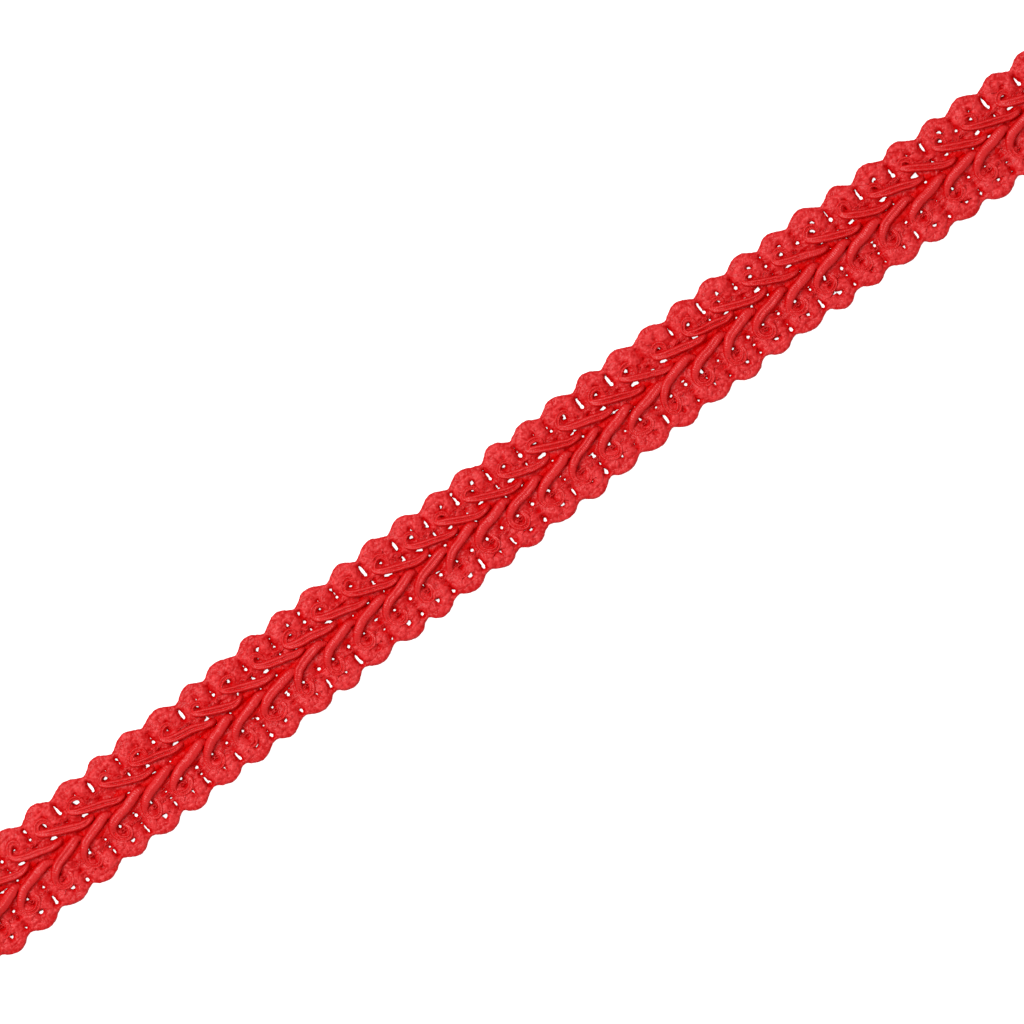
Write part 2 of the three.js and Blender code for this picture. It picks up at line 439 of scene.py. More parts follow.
def dye_and_painted_shade(tree, surface, value, low, high, deep, light):
    share = node(tree, "ShaderNodeMapRange", {"Value": value, "From Min": low, "From Max": high})
    colour = node(tree, "ShaderNodeMix", {"Factor": share.outputs[0]}, data_type="RGBA")
    colour.inputs["A"].default_value = (*deep, 1)
    colour.inputs["B"].default_value = (*light, 1)
    tree.links.new(colour.outputs["Result"], surface.inputs["Base Color"])


def raise_it(tree, surface, height, depth):
    bump = node(tree, "ShaderNodeBump", {"Height": height, "Distance": depth * MM})
    tree.links.new(bump.outputs[0], surface.inputs["Normal"])


print("patterns: fibres, drawn_out, dye, raise_it")

# %% [markdown]
# ## The two finishes
# The gimp's finish adds a sine wave, with a crest for each turn of the yarn wound round it, to drawn-out
# streaks, and its red is painted deeper in the groove and on the cord's low sides as painted shade. The
# fluffy finish has no turns, only streaks and fibres, and its colour deepens near the table as painted shade.
# Both keep a little green and blue in the light red, their painted highlight, since a pure red would look
# like neon.

# %% The finishes
# deep is the painted shade and light the painted highlight of one red; hollow and ridge are where the mix
# between them starts and ends
GIMP = {
    "finish": {"roughness": 0.32, "gloss": 0.4},
    "fibres per metre": 2600.0,
    "fibre roughness": 0.5,
    "fibre share": 0.7,
    "hollow": 1.15,
    "ridge": 1.95,
    "deep": (0.74, 0.0006, 0.002),
    "light": (0.86, 0.018, 0.02),
    "depth": 0.11,
}


def wound_yarn(name, turn, show, along_rate, around_rate):
    material, tree, surface = red_yarn(name, **GIMP["finish"])
    wave = maths(tree, "SINE", maths(tree, "MULTIPLY", attribute(tree, "along"), 2 * np.pi / (turn * MM)))
    turns = maths(tree, "MULTIPLY_ADD", wave, show, drawn_out(tree, along_rate, around_rate))
    loose = fibres(tree, GIMP["fibres per metre"], GIMP["fibre roughness"])
    height = maths(tree, "MULTIPLY_ADD", loose, GIMP["fibre share"], turns)
    # painted shade and highlight: the turns and the place in the section darken the groove and low sides and
    # lighten the ridges
    value = maths(tree, "ADD", height, attribute(tree, "exposed"))
    dye_and_painted_shade(tree, surface, value, GIMP["hollow"], GIMP["ridge"], GIMP["deep"], GIMP["light"])
    raise_it(tree, surface, height, GIMP["depth"])
    return material


# hollow and crest bound the mix between the painted shade red and the painted highlight red
FLUFF = {
    "roughness": 0.36,
    "streaks along": 2.5,
    "streaks around": 0.6,
    "streak share": 0.4,
    "fibres per metre": 2700.0,
    "fibre roughness": 0.45,
    "hollow": 0.54,
    "crest": 0.86,
}
# how much the height above the table deepens the fluffy red: painted shade near the table
PAINTED_SHADE_NEAR_TABLE = 0.6


def fluffy_yarn(name, gloss, deep, light, depth):
    material, tree, surface = red_yarn(name, FLUFF["roughness"], gloss)
    streaks = drawn_out(tree, FLUFF["streaks along"], FLUFF["streaks around"])
    loose = fibres(tree, FLUFF["fibres per metre"], FLUFF["fibre roughness"])
    flecks = maths(tree, "MULTIPLY_ADD", streaks, FLUFF["streak share"], loose)
    # painted shade near the table, and on the flecks random tone with painted highlight on their crests
    place = node(tree, "ShaderNodeTexCoord").outputs["Object"]
    above = node(tree, "ShaderNodeSeparateXYZ", {0: place}).outputs["Z"]
    value = maths(tree, "MULTIPLY_ADD", above, PAINTED_SHADE_NEAR_TABLE / MM, flecks)
    dye_and_painted_shade(tree, surface, value, FLUFF["hollow"] + PAINTED_SHADE_NEAR_TABLE, FLUFF["crest"] + PAINTED_SHADE_NEAR_TABLE, deep, light)
    raise_it(tree, surface, flecks, depth)
    return material


SATIN = wound_yarn("satin gimp", turn=0.22, show=0.06, along_rate=1.6, around_rate=1.5)
TICKED = wound_yarn("ticked gimp", turn=0.24, show=0.08, along_rate=1.6, around_rate=0.6)
FLUFFY = fluffy_yarn(
    "fluffy viscose", gloss=0.28, deep=(0.72, 0.001, 0.003), light=(0.95, 0.042, 0.046), depth=0.16
)
# the spine's red: a darker, purer copy of the fluffy red, painted shade for the gap between the arms
PRESSED_IN_SHADE = fluffy_yarn(
    "pressed viscose painted shade", gloss=0.08, deep=(0.8, 0.0006, 0.001), light=(0.88, 0.012, 0.014), depth=0.15
)
print("materials:", [m.name for m in (SATIN, TICKED, FLUFFY, PRESSED_IN_SHADE)])

# %% [markdown]
# ## Cutting a piece to length
# The braid is a cut length, so every cord ends at the same two cuts. It would be fiddly to stop each route
# just there, and so we make the cords too long and then slice the mesh with a plane at both ends, as
# scissors would, and close the cut faces. Cut yarns are never quite flush: each face is set back by a hair,
# and so no two of them lie in one plane, where they would flicker.

# %% Cutting
FLUSH = 0.06


def cut(piece):
    rng = np.random.default_rng(len(piece.data.vertices))
    shape = bmesh.new()
    shape.from_mesh(piece.data)
    faces = {}
    for end in (-1, 1):
        found = bmesh.ops.bisect_plane(
            shape,
            geom=[*shape.verts, *shape.edges, *shape.faces],
            plane_co=(end * LENGTH / 2 * MM, 0, 0),
            plane_no=(end, 0, 0),
            clear_outer=True,
        )
        edges = [e for e in found["geom_cut"] if isinstance(e, bmesh.types.BMEdge)]
        faces[end] = bmesh.ops.holes_fill(shape, edges=edges)["faces"]
    inside_out = shape.calc_volume(signed=True) < 0
    if inside_out:
        bmesh.ops.reverse_faces(shape, faces=shape.faces)
    for end, face in ((end, face) for end in faces for face in faces[end]):
        set_back = rng.uniform(0, FLUSH) * MM
        for corner in face.verts:
            corner.co.x -= end * set_back
        face.smooth = False
        face.normal_update()
        if face.normal.x * end < 0:
            face.normal_flip()
    open_edges = sum(not e.is_manifold for e in shape.edges)
    odd_edges = sum(not e.is_contiguous for e in shape.edges)
    shape.to_mesh(piece.data)
    shape.free()
    triangles = sum(len(p.vertices) - 2 for p in piece.data.polygons)
    print(f"{piece.name}: {triangles} triangles, {open_edges} open and {odd_edges} badly wound edges")
    return piece


print("ends lie up to", FLUSH, "mm back from the cut")

# %% [markdown]
# ## Where the ground opens
# Between the crushed legs of the loops, the ground of a real braid opens in small holes, always at the same
# places of a repeat: a slit in each valley, an eye in each curl and dots nearer the middle. The pull of the
# threads makes them, and many close up again. Yarn modelled thread by thread would leave its gaps where
# chance has them. We do what an awl does instead: the cords are swept first, and then their skin is pushed
# back round each hole. The tables list the holes of one repeat, and a fixed seed decides for each repeat
# which are open and which are nearly shut. Even a shut one leaves a dip in the ground.

# %% The eyelets
#    along, out, half along, half out, share open, dip
UPPER_EYELETS = [
    (-2.24, 3.15, 0.19, 0.24, 0.9, 0.55),
    (-2.24, 3.7, 0.15, 0.52, 0.55, 0.5),
    (-2.24, 4.25, 0.13, 0.2, 0.35, 0.4),
    (-0.13, 3.25, 0.2, 0.17, 0.9, 0.6),
    (0.3, 4.12, 0.27, 0.12, 0.5, 0.45),
    (-0.5, 1.6, 0.29, 0.15, 0.6, 0.4),
    (-2.2, 2.0, 0.09, 0.24, 0.2, 0.4),
    (-2.0, 0.38, 0.14, 0.11, 0.4, 0.4),
    (0.3, 0.42, 0.14, 0.11, 0.4, 0.4),
    (1.2, 2.6, 0.1, 0.1, 0.0, 0.3),
]
LOWER_EYELETS = [
    (-2.15, 4.35, 0.18, 0.22, 0.8, 0.5),
    (-2.18, 3.8, 0.13, 0.5, 0.3, 0.5),
    (-2.2, 3.08, 0.13, 0.13, 0.5, 0.55),
    (-2.2, 2.07, 0.17, 0.17, 0.9, 0.5),
    (0.0, 2.07, 0.15, 0.15, 0.7, 0.5),
    (0.05, 2.75, 0.1, 0.1, 0.0, 0.75),
    (0.32, 4.25, 0.27, 0.11, 0.65, 0.45),
    (1.2, 2.8, 0.1, 0.1, 0.0, 0.3),
]
OPEN = (0.7, 1.2)
SHUT = (0.1, 0.4)
TILT = 0.3
MISPLACED = 0.05
DIP_WIDTH = 0.22
NEARBY = 1.2
CLOSEST = 0.05
TINY = 1e-9


def eyelets(table, side, seed):
    rng = np.random.default_rng(seed)
    cells = np.arange(-REPEATS // 2 - 1, REPEATS // 2 + 2)
    count = len(cells)
    found = []
    for along, out, half_along, half_out, share, dip in table:
        x, y = laid(along + cells * PITCH, out + rng.normal(0, MISPLACED, count), side)
        is_open = rng.random(count) < share
        size = np.where(is_open, rng.uniform(*OPEN, count), rng.uniform(*SHUT, count))
        x = x + rng.normal(0, MISPLACED, count)
        tilt = rng.normal(0, TILT if half_along > half_out else 0, count)
        columns = [x, y - MIDDLE, half_along * size, half_out * size, tilt, np.full(count, dip)]
        found.append(np.column_stack(columns))
    return np.concatenate(found)


EYELETS = np.concatenate([eyelets(UPPER_EYELETS, "upper", 30), eyelets(LOWER_EYELETS, "lower", 31)])
print("eyelets, open or shut:", len(EYELETS))
print("the longest is", round(2 * EYELETS[:, 2:4].max(), 2), "mm")

# %% [markdown]
# ## Pushing the yarn aside
# A point of the skin is joined to its cord's centre line by a spoke. Where a spoke runs into an eyelet, the
# point goes back to where it first crosses the rim of it. Scaled by the eyelet's two half lengths, the rim is
# a circle of radius 1, and the crossing is the smaller root of a quadratic equation. Heights near an eyelet
# are lowered as well, which rounds the rim off.

# %% Part the yarn
def part_yarn(piece):
    """Pushes a cord's skin back towards its own line wherever it reaches into an eyelet."""
    mesh = piece.data
    points, lines = np.empty((2, len(mesh.vertices) * 3), np.float32)
    mesh.vertices.foreach_get("co", points)
    mesh.attributes["centre"].data.foreach_get("vector", lines)
    points = points.reshape(-1, 3).astype(float) / MM
    lines = lines.reshape(-1, 3).astype(float) / MM
    order = np.argsort(points[:, 0])
    sorted_x = points[order, 0]
    moved = 0
    for x, y, half_along, half_out, tilt, dip in EYELETS:
        first, last = np.searchsorted(sorted_x, (x - NEARBY, x + NEARBY))
        near = order[first:last]
        near = near[np.abs(points[near, 1] - y) < NEARBY]
        turned = np.array([[np.cos(tilt), -np.sin(tilt)], [np.sin(tilt), np.cos(tilt)]])
        as_circle = turned / (half_along, half_out)
        spoke = points[near, :2] - lines[near, :2]
        start = (lines[near, :2] - (x, y)) @ as_circle
        step = spoke @ as_circle
        a = (step**2).sum(1) + TINY
        b = (start * step).sum(1)
        root = b**2 - a * ((start**2).sum(1) - 1)
        reach = (-b - np.sqrt(np.maximum(root, 0))) / a
        inside = (root > 0) & (reach > CLOSEST) & (reach < 1)
        points[near, :2] = lines[near, :2] + spoke * np.where(inside, reach, 1)[:, None]
        away = points[near, :2] - (x, y)
        rate = np.maximum(np.linalg.norm(away @ as_circle, axis=1), 1)
        distance = np.linalg.norm(away, axis=1) * (1 - 1 / rate)
        # the lowered skin also takes the fluffy cord's painted shade, which follows height, so the rims are
        # darkened by paint as well as by their real dip
        points[near, 2] *= 1 - dip * np.exp(-((distance / DIP_WIDTH) ** 2))
        moved += inside.sum()
    points[:, 2] = np.maximum(points[:, 2], 0)
    mesh.vertices.foreach_set("co", (points * MM).astype(np.float32).ravel())
    print(f"{piece.name}: {moved} points pushed out of {len(EYELETS)} eyelets")
    return piece


print("skin is looked at up to", NEARBY, "mm from an eyelet")

# %% [markdown]
# ## From a line to a finished cord
# Every cord now goes the same way: its lines become a mesh, the tree sweeps them, the eyelets part the yarn,
# and the two cuts trim the ends. The values below are those of the plain fluffy cord; each piece changes a
# few of them.

# %% One call for a cord
CORD = {
    "Ring Step": 0.12 * MM,
    "Sides": 16,
    "Fullness": 0.6,
    "Crinkle": 0.3,
    "Crinkle Size": 0.8,
    "Fluff": 0.3,
    "Fluff Size": 0.4,
    "Material": FLUFFY,
}


def cord_piece(name, lines, parted=True, **changes):
    made = grow(name, chain_mesh(name + "_line", lines), cord_tree, CORD | changes)
    if parted:
        part_yarn(made)
    made.data.attributes.remove(made.data.attributes["centre"])
    return cut(made)


print("a plain fluffy cord has", CORD["Sides"], "sides and a ring every", CORD["Ring Step"] / MM, "mm")

# %% [markdown]
# ## The ground: two rows of fluffy loops
# On the real braid a soft, fluffy cord runs up and down on each side, round the head of every scallop and
# back, and turns near the middle. It is crushed so wide that its legs meet and close the ground, and so each
# leg in the tables is a little wider than half a repeat. The eyelets then open the ground again. Both sides
# go into one piece, because they are one cloth.

# %% The ground loops
#    along, out, rise, width, height, groove
UPPER_LOOPS = [
    (-2.2, 0.62, 0.45, 0.5, 0.38, 0.0),
    (-1.8, 0.78, 0.45, 0.7, 0.38, 0.0),
    (-1.4, 1.2, 0.42, 0.75, 0.4, 0.0),
    (-1.22, 1.6, 0.42, 1.1, 0.4, 0.0),
    (-1.15, 2.25, 0.43, 1.24, 0.4, 0.0),
    (-1.15, 2.8, 0.45, 1.24, 0.4, 0.0),
    (-1.15, 3.2, 0.52, 1.24, 0.44, 0.0),
    (-1.15, 3.6, 0.56, 1.22, 0.48, 0.0),
    (-1.17, 4.02, 0.58, 1.15, 0.5, 0.0),
    (-0.95, 4.4, 0.6, 0.85, 0.48, 0.0),
    (-0.5, 4.46, 0.62, 0.72, 0.44, 0.0),
    (0.0, 4.5, 0.62, 0.7, 0.44, 0.0),
    (0.5, 4.46, 0.62, 0.72, 0.44, 0.0),
    (0.95, 4.4, 0.6, 0.85, 0.48, 0.0),
    (1.17, 4.02, 0.58, 1.15, 0.5, 0.0),
    (1.15, 3.6, 0.56, 1.22, 0.48, 0.0),
    (1.15, 3.2, 0.52, 1.24, 0.44, 0.0),
    (1.15, 2.8, 0.45, 1.24, 0.4, 0.0),
    (1.15, 2.25, 0.43, 1.24, 0.4, 0.0),
    (1.14, 1.6, 0.42, 1.1, 0.4, 0.0),
    (1.3, 1.15, 0.42, 0.75, 0.4, 0.0),
    (1.8, 0.75, 0.45, 0.7, 0.38, 0.0),
]
LOWER_LOOPS = [
    (-2.2, 0.66, 0.45, 0.5, 0.38, 0.0),
    (-1.75, 0.8, 0.45, 0.7, 0.38, 0.0),
    (-1.3, 1.1, 0.42, 0.75, 0.4, 0.0),
    (-1.14, 1.5, 0.42, 1.1, 0.4, 0.0),
    (-1.12, 2.08, 0.43, 1.24, 0.4, 0.0),
    (-1.12, 2.6, 0.45, 1.32, 0.4, 0.0),
    (-1.12, 3.1, 0.52, 1.36, 0.42, 0.0),
    (-1.14, 3.55, 0.56, 1.36, 0.48, 0.0),
    (-1.14, 4.0, 0.58, 1.24, 0.5, 0.0),
    (-0.95, 4.4, 0.6, 0.85, 0.48, 0.0),
    (-0.4, 4.48, 0.62, 0.72, 0.44, 0.0),
    (0.1, 4.5, 0.62, 0.72, 0.44, 0.0),
    (0.6, 4.48, 0.62, 0.72, 0.44, 0.0),
    (1.05, 4.4, 0.6, 0.8, 0.48, 0.0),
    (1.19, 4.0, 0.58, 1.24, 0.5, 0.0),
    (1.15, 3.55, 0.56, 1.36, 0.48, 0.0),
    (1.12, 3.1, 0.52, 1.36, 0.42, 0.0),
    (1.12, 2.6, 0.45, 1.32, 0.4, 0.0),
    (1.12, 2.08, 0.43, 1.24, 0.4, 0.0),
    (1.14, 1.5, 0.42, 1.1, 0.4, 0.0),
    (1.3, 1.15, 0.42, 0.75, 0.4, 0.0),
    (1.75, 0.8, 0.45, 0.7, 0.38, 0.0),
]
LOOSE_LOOPS = {"every": 5, "amount": np.array([0.12, 0.06, 0.02, 0.05, 0.02, 0.0])}
ground = cord_piece(
    "ground_loops",
    [cord_line(UPPER_LOOPS, "upper", 10, LOOSE_LOOPS), cord_line(LOWER_LOOPS, "lower", 11, LOOSE_LOOPS)],
    **{"Ring Step": 0.14 * MM},
)
print("the loops reach", round(max(v.co.z for v in ground.data.vertices) / MM, 2), "mm up")

# %% [markdown]
# ## The scalloped rims
# The outline of the braid is cleaner than its ground, because the outermost turn of the fluffy cord is pulled
# tight round the heads of the loops. One strand for each side, swept along the scallops, draws that edge.
# Sculpting the scallops would be slower and would not follow the uneven lie. The two sides differ: the
# upper scallop is even, and the lower one rises steeply and has a flat valley after it.

# %% The rims
#    along, out, rise, width, height, groove
UPPER_RIM = [
    (-2.2, 4.7, 0.5, 0.42, 0.42, 0.0),
    (-1.65, 4.8, 0.5, 0.5, 0.43, 0.0),
    (-1.1, 5.02, 0.52, 0.56, 0.44, 0.0),
    (-0.55, 5.24, 0.54, 0.66, 0.46, 0.0),
    (0.0, 5.33, 0.54, 0.7, 0.46, 0.0),
    (0.55, 5.24, 0.54, 0.66, 0.46, 0.0),
    (1.1, 5.02, 0.52, 0.56, 0.44, 0.0),
    (1.65, 4.8, 0.5, 0.5, 0.43, 0.0),
]
LOWER_RIM = [
    (-1.9, 4.7, 0.5, 0.42, 0.42, 0.0),
    (-1.5, 4.82, 0.5, 0.46, 0.43, 0.0),
    (-1.0, 5.05, 0.52, 0.58, 0.44, 0.0),
    (-0.45, 5.22, 0.54, 0.66, 0.46, 0.0),
    (0.1, 5.3, 0.54, 0.7, 0.46, 0.0),
    (0.65, 5.22, 0.54, 0.66, 0.46, 0.0),
    (1.15, 5.0, 0.52, 0.6, 0.44, 0.0),
    (1.6, 4.84, 0.5, 0.48, 0.43, 0.0),
    (2.1, 4.72, 0.5, 0.42, 0.42, 0.0),
]
LOOSE_RIM = {"every": 4, "amount": np.array([0.08, 0.04, 0.02, 0.04, 0.02, 0.0])}
TIGHT = {"Sides": 20, "Fluff": 0.12, "Crinkle": 0.14}
rims = [
    cord_piece(f"edge_rim_{side}", [cord_line(route, side, seed, LOOSE_RIM)], **TIGHT)
    for side, route, seed in (("upper", UPPER_RIM, 12), ("lower", LOWER_RIM, 13))
]

across = [v.co.y / MM for rim in rims for v in rim.data.vertices]
print("across the rims, mm:", round(max(across) - min(across), 2))

# %% [markdown]
# ## The spine and the stitch beds
# Under the chevrons, three straight strands run along the middle of the braid. Hardly anything of them shows
# but the deep red between the arms, and so a dozen sides and a matt material will do; that material is a
# darker, purer copy of the fluffy red, painted shade for the gap between the arms. Two thinner strands, the
# beds, lie under the rows of stitches, out where the curls begin.

# %% The spine and the stitch beds
UPPER_SPINE = [(-1.1, 0.94, 0.42, 0.52, 0.38, 0.0), (1.1, 0.86, 0.42, 0.52, 0.38, 0.0)]
MIDDLE_SPINE = [(-1.1, 0.0, 0.4, 0.56, 0.36, 0.0), (1.1, -0.12, 0.4, 0.56, 0.36, 0.0)]
LOWER_SPINE = [(-1.1, 1.02, 0.42, 0.62, 0.38, 0.0), (1.1, 1.08, 0.42, 0.62, 0.38, 0.0)]
STITCH_BED = [(-1.1, 2.56, 0.52, 0.46, 0.32, 0.0), (1.1, 2.58, 0.52, 0.46, 0.32, 0.0)]
LOOSE_SPINE = {"every": 2, "amount": np.array([0.1, 0.05, 0.02, 0.04, 0.02, 0.0])}
spine = cord_piece(
    "spine_strands",
    [
        cord_line(UPPER_SPINE, "upper", 14, LOOSE_SPINE),
        cord_line(MIDDLE_SPINE, "upper", 15, LOOSE_SPINE),
        cord_line(LOWER_SPINE, "lower", 16, LOOSE_SPINE),
    ],
    **{"Sides": 12, "Material": PRESSED_IN_SHADE, "Fluff": 0.12},
)

beds = cord_piece(
    "stitch_beds",
    [cord_line(STITCH_BED, "upper", 17, LOOSE_SPINE), cord_line(STITCH_BED, "lower", 18, LOOSE_SPINE)],
    Sides=12,
)

for piece in (spine, beds):
    across = [v.co.y / MM for v in piece.data.vertices]
    print(piece.name, "reach", round(max(across), 2), "mm from the middle")

# %% [markdown]
# ## The rows of stitches
# A fine chain stitch sews the loops down along each side. Each stitch is a teardrop of thread, pointed
# forwards and sunk at its head, and there are hundreds of them, all alike but for size. That is a task for
# instances: the tree makes one teardrop of 100 triangles, sets it on points along the seam, turns it to the
# seam's direction and changes its size a little. They sit so deep in the fluff that they hardly show.

# %% The chain stitches
STITCH_INPUTS = {
    "Pitch": "Float",
    "Reach": "Float",
    "Spread": "Float",
    "Thread": "Float",
    "Seed": "Int",
    "Material": "Material",
}
STITCH_PITCH = 0.45
STITCH_STEPS = 10
THREAD_SIDES = 5
NARROWING = -0.4
SMALLEST = (0.85, 0.8, 0.9)
LARGEST = (1.1, 1.2, 1.2)
stitch_tree, given = new_tree("sew a chain stitch", STITCH_INPUTS)
chain = node(stitch_tree, "GeometryNodeMeshToCurve", {"Mesh": given["Geometry"]})
places = node(
    stitch_tree,
    "GeometryNodeCurveToPoints",
    {"Curve": chain.outputs[0], "Length": given["Pitch"]},
    mode="LENGTH",
)
loop = node(stitch_tree, "GeometryNodeCurvePrimitiveCircle", {"Resolution": STITCH_STEPS, "Radius": 1.0})
at = node(stitch_tree, "ShaderNodeSeparateXYZ", {0: position(stitch_tree)})
taper = maths(stitch_tree, "MULTIPLY_ADD", at.outputs["X"], NARROWING, 1.0)
drop = node(
    stitch_tree,
    "ShaderNodeCombineXYZ",
    {
        "X": maths(stitch_tree, "MULTIPLY", at.outputs["X"], given["Reach"]),
        "Y": maths(
            stitch_tree, "MULTIPLY", maths(stitch_tree, "MULTIPLY", at.outputs["Y"], taper), given["Spread"]
        ),
        "Z": maths(stitch_tree, "MULTIPLY", at.outputs["X"], given["Thread"]),
    },
)
teardrop = node(
    stitch_tree, "GeometryNodeSetPosition", {"Geometry": loop.outputs[0], "Position": drop.outputs[0]}
)
thread = node(
    stitch_tree, "GeometryNodeCurvePrimitiveCircle", {"Resolution": THREAD_SIDES, "Radius": given["Thread"]}
)
stitch = node(
    stitch_tree, "GeometryNodeCurveToMesh", {"Curve": teardrop.outputs[0], "Profile Curve": thread.outputs[0]}
)
forward = node(
    stitch_tree,
    "FunctionNodeAlignRotationToVector",
    {"Vector": places.outputs["Tangent"]},
    axis="X",
    pivot_axis="Z",
)
size = node(stitch_tree, "FunctionNodeRandomValue", {"Seed": given["Seed"]}, data_type="FLOAT_VECTOR")
size.inputs[0].default_value = SMALLEST
size.inputs[1].default_value = LARGEST
sewn = node(
    stitch_tree,
    "GeometryNodeInstanceOnPoints",
    {
        "Points": places.outputs["Points"],
        "Instance": stitch.outputs[0],
        "Rotation": forward.outputs[0],
        "Scale": size.outputs[0],
    },
)
smooth = node(stitch_tree, "GeometryNodeSetShadeSmooth", {"Geometry": sewn.outputs[0]})
real = node(stitch_tree, "GeometryNodeRealizeInstances", {"Geometry": smooth.outputs[0]})
dressed = node(
    stitch_tree, "GeometryNodeSetMaterial", {"Geometry": real.outputs[0], "Material": given["Material"]}
)
node(stitch_tree, "NodeGroupOutput", {"Geometry": dressed.outputs[0]})

print("the stitch tree has", len(stitch_tree.nodes), "nodes")

# %% [markdown]
# ## Sewing both seams
# A seam is a line like those of the cords, only that the tree puts stitches on it and no tube.

# %% Sew the seams
SEAM = [(-1.1, 2.5, 0.8, 0.1, 0.1, 0.0), (1.1, 2.52, 0.8, 0.1, 0.1, 0.0)]
seams = [cord_line(SEAM, side, seed, LOOSE_SPINE) for side, seed in (("upper", 24), ("lower", 25))]
stitches = cut(
    grow(
        "chain_stitches",
        chain_mesh("seam_lines", seams),
        stitch_tree,
        {
            "Pitch": STITCH_PITCH * MM,
            "Reach": 0.3 * MM,
            "Spread": 0.15 * MM,
            "Thread": 0.055 * MM,
            "Seed": 5,
            "Material": FLUFFY,
        },
    )
)

print("stitches sewn: about", round(2 * LENGTH / STITCH_PITCH))

# %% [markdown]
# ## The scroll cords
# The gimp itself is what everyone looks at. In each repeat the wound cord comes up out of the middle, lies
# across its neighbours as a slanting arm, curls round an eye and dives back under the ground. The upper
# side's cord is doubled and shows two ridges; the lower side's is one broad cord that fades into the fluff at
# its outer end. The tables follow one repeat from the arm to the dive. Each repeat reaches forwards over
# the next one, so the repeats are strung together backwards, with an order of -1.

# %% The scroll cords
#    along, out, rise, width, height, groove
UPPER_SCROLL = [
    (4.8, 1.5, 0.4, 0.3, 0.28, 0.1),
    (4.75, 1.15, 0.5, 0.3, 0.28, 0.2),
    (4.5, 0.9, 0.8, 0.34, 0.32, 0.4),
    (4.1, 0.82, 1.04, 0.38, 0.39, 0.6),
    (3.6, 0.86, 1.13, 0.43, 0.43, 0.8),
    (3.08, 0.97, 1.17, 0.46, 0.44, 0.9),
    (2.56, 1.17, 1.19, 0.48, 0.44, 0.9),
    (2.03, 1.38, 1.19, 0.49, 0.44, 0.9),
    (1.5, 1.56, 1.19, 0.49, 0.44, 0.9),
    (1.0, 1.74, 1.19, 0.49, 0.44, 0.9),
    (0.45, 1.95, 1.18, 0.48, 0.44, 0.9),
    (-0.08, 2.18, 1.15, 0.46, 0.42, 0.9),
    (-0.58, 2.43, 1.07, 0.44, 0.37, 0.9),
    (-0.98, 2.74, 0.93, 0.4, 0.32, 0.9),
    (-1.1, 3.1, 0.83, 0.37, 0.28, 1.0),
    (-0.92, 3.45, 0.82, 0.35, 0.28, 1.0),
    (-0.55, 3.76, 0.86, 0.35, 0.28, 1.0),
    (-0.15, 3.85, 0.87, 0.35, 0.28, 1.0),
    (0.26, 3.72, 0.85, 0.34, 0.28, 1.0),
    (0.48, 3.35, 0.83, 0.33, 0.28, 1.0),
    (0.48, 3.0, 0.74, 0.32, 0.27, 0.6),
    (0.4, 2.65, 0.6, 0.32, 0.27, 0.3),
    (0.32, 2.25, 0.46, 0.34, 0.28, 0.1),
    (0.36, 1.85, 0.4, 0.34, 0.28, 0.1),
]
LOWER_SCROLL = [
    (4.68, 0.8, 0.4, 0.32, 0.28, 0.1),
    (4.6, 0.42, 0.55, 0.34, 0.3, 0.1),
    (4.38, 0.14, 0.86, 0.42, 0.34, 0.1),
    (3.98, -0.02, 1.08, 0.51, 0.4, 0.1),
    (3.45, 0.1, 1.16, 0.58, 0.44, 0.1),
    (2.66, 0.32, 1.18, 0.59, 0.45, 0.1),
    (2.03, 0.5, 1.18, 0.59, 0.45, 0.1),
    (1.35, 0.64, 1.18, 0.58, 0.45, 0.1),
    (0.56, 0.84, 1.18, 0.57, 0.45, 0.1),
    (0.03, 1.1, 1.17, 0.55, 0.45, 0.1),
    (-0.48, 1.44, 1.08, 0.5, 0.4, 0.15),
    (-0.88, 1.85, 0.9, 0.46, 0.32, 0.4),
    (-1.1, 2.32, 0.77, 0.4, 0.27, 0.8),
    (-1.14, 2.75, 0.77, 0.36, 0.27, 1.0),
    (-1.02, 3.12, 0.83, 0.35, 0.28, 1.0),
    (-0.7, 3.48, 0.85, 0.35, 0.28, 1.0),
    (-0.2, 3.68, 0.87, 0.35, 0.28, 1.0),
    (0.25, 3.62, 0.87, 0.35, 0.28, 1.0),
    (0.62, 3.3, 0.85, 0.35, 0.28, 1.0),
    (0.8, 2.9, 0.76, 0.33, 0.27, 0.7),
    (0.78, 2.45, 0.6, 0.34, 0.28, 0.3),
    (0.7, 2.0, 0.46, 0.36, 0.28, 0.1),
    (0.62, 1.55, 0.4, 0.36, 0.28, 0.1),
    (0.42, 1.18, 0.4, 0.36, 0.28, 0.1),
]
LOOSE_SCROLL = {"every": 6, "amount": np.array([0.16, 0.16, 0.03, 0.035, 0.02, 0.2])}
WOUND_SKIN = {
    "Ring Step": 0.14 * MM,
    "Sides": 28,
    "Crinkle": 0.06,
    "Fluff": 0.04,
    "Fullness": 0.9,
}
FINISH = {"upper": SATIN, "lower": TICKED}
scrolls = [
    cord_piece(
        f"scroll_cord_{side}",
        [cord_line(route, side, seed, LOOSE_SCROLL, order=-1)],
        parted=False,
        **WOUND_SKIN,
        Material=FINISH[side],
    )
    for side, route, seed in (("upper", UPPER_SCROLL, 20), ("lower", LOWER_SCROLL, 21))
]

top = max(v.co.z for piece in scrolls for v in piece.data.vertices)
print("the arms reach", round(top / MM, 2), "mm up")

# %% [markdown]
# ## One braid, one cloth
# All these cords are stitched into one flat thing, so every piece rides on the root and replaces the plain
# solid.

# %% Seat the pieces
pieces = [ground, *rims, spine, beds, stitches, *scrolls]
for piece in pieces:
    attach(piece, "root")
    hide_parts("braid")
print("pieces in one sheet:", len(pieces))

# %% [markdown]
# ## The floor
# The braid lay on plain white paper, so bright that the picture shows it as pure white, through the holes
# too. Paper that only scatters light would come out grey wherever the braid shades it. So what the camera
# sees of this paper also glows a little, while the light that it throws up on the braid is that of plain
# paper.

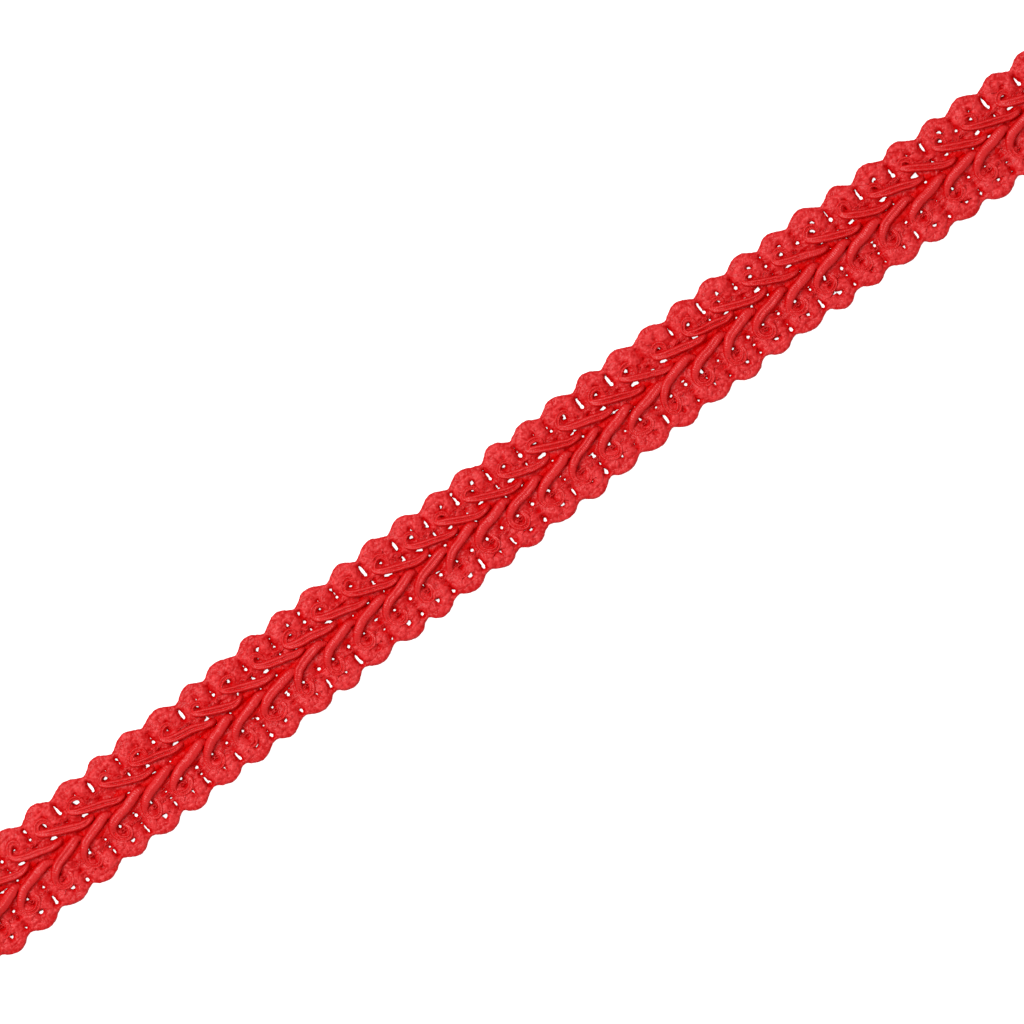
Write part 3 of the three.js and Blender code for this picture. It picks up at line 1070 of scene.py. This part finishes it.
# %% The floor
floor_mesh = bpy.data.meshes.new("floor")
FLOOR = 2.0
CLEARANCE = 0.02
PAPER = 0.85
GLOW = 0.94
corners = [(-FLOOR, -FLOOR, 0), (FLOOR, -FLOOR, 0), (FLOOR, FLOOR, 0), (-FLOOR, FLOOR, 0)]
floor_mesh.from_pydata(corners, [], [(0, 1, 2, 3)])
floor = bpy.data.objects.new("floor", floor_mesh)
bpy.context.scene.collection.objects.link(floor)
floor.location.z = -CLEARANCE * MM
white = bpy.data.materials.new("white floor")
white.use_nodes = True
tree = white.node_tree
tree.nodes.clear()
paper = node(tree, "ShaderNodeBsdfDiffuse", {"Color": (PAPER, PAPER, PAPER, 1)})
glow = node(tree, "ShaderNodeEmission", {"Color": (1, 1, 1, 1), "Strength": GLOW})
both = node(tree, "ShaderNodeAddShader", {0: paper.outputs[0], 1: glow.outputs[0]})
seen = node(
    tree,
    "ShaderNodeMixShader",
    {0: node(tree, "ShaderNodeLightPath").outputs["Is Camera Ray"], 1: paper.outputs[0], 2: both.outputs[0]},
)
node(tree, "ShaderNodeOutputMaterial", {"Surface": seen.outputs[0]})
floor_mesh.materials.append(white)
print("the paper is", 2 * FLOOR, "m wide")

# %% [markdown]
# ## Light
# The ridges of the arms are brighter on their upper left side in the picture, and the shadows under them are
# short and soft. That is one large softbox, high up and a little to that side, in a bright room.

# %% Light
ROOM = 0.44
world = bpy.data.worlds.new("soft room")
bpy.context.scene.world = world
world.use_nodes = True
world.node_tree.nodes["Background"].inputs["Color"].default_value = (1, 1, 1, 1)
world.node_tree.nodes["Background"].inputs["Strength"].default_value = ROOM


def softbox(name, place, size, watts):
    light = bpy.data.lights.new(name, "AREA")
    light.size = size
    light.energy = watts
    lamp = bpy.data.objects.new(name, light)
    bpy.context.scene.collection.objects.link(lamp)
    lamp.location = place
    lamp.rotation_euler = (-Vector(place)).to_track_quat("-Z", "Y").to_euler()
    lamp.visible_camera = False


softbox("key softbox", place=(-0.2, 0.3, 0.65), size=0.4, watts=3.25)

# %% [markdown]
# ## The camera
# The picture was taken from straight above. We know its scale: one of its pixels is 0.1132 mm of braid. A
# long lens, far away, keeps the flat braid free of perspective. The braid runs up to the right in the picture
# at 37.6 degrees, but along X in our frame, and so it is the camera that is turned.

# %% Camera
PIXELS = 1024
PIXEL = 0.1132
TURN = np.radians(37.567)
CENTRE_ABOVE = 12.2
SENSOR = 36.0
LENS = 300.0
FACE = 1.0
camera_data = bpy.data.cameras.new("camera")
camera_data.sensor_width = SENSOR
camera_data.lens = LENS
camera = bpy.data.objects.new("camera", camera_data)
bpy.context.scene.collection.objects.link(camera)
distance = PIXELS * PIXEL * LENS / SENSOR
up = np.array([np.sin(TURN), np.cos(TURN)])
aim = -CENTRE_ABOVE * PIXEL * up + [0, -MIDDLE]
camera.location = (aim[0] * MM, aim[1] * MM, (distance + FACE) * MM)
camera.rotation_euler = (0, 0, -TURN)
camera_data.clip_start = 0.01
camera_data.clip_end = 10
bpy.context.scene.camera = camera
bpy.context.scene.view_settings.view_transform = "Standard"
print("the camera hangs", round(distance * MM, 2), "m above the braid and sees", round(PIXELS * PIXEL), "mm")
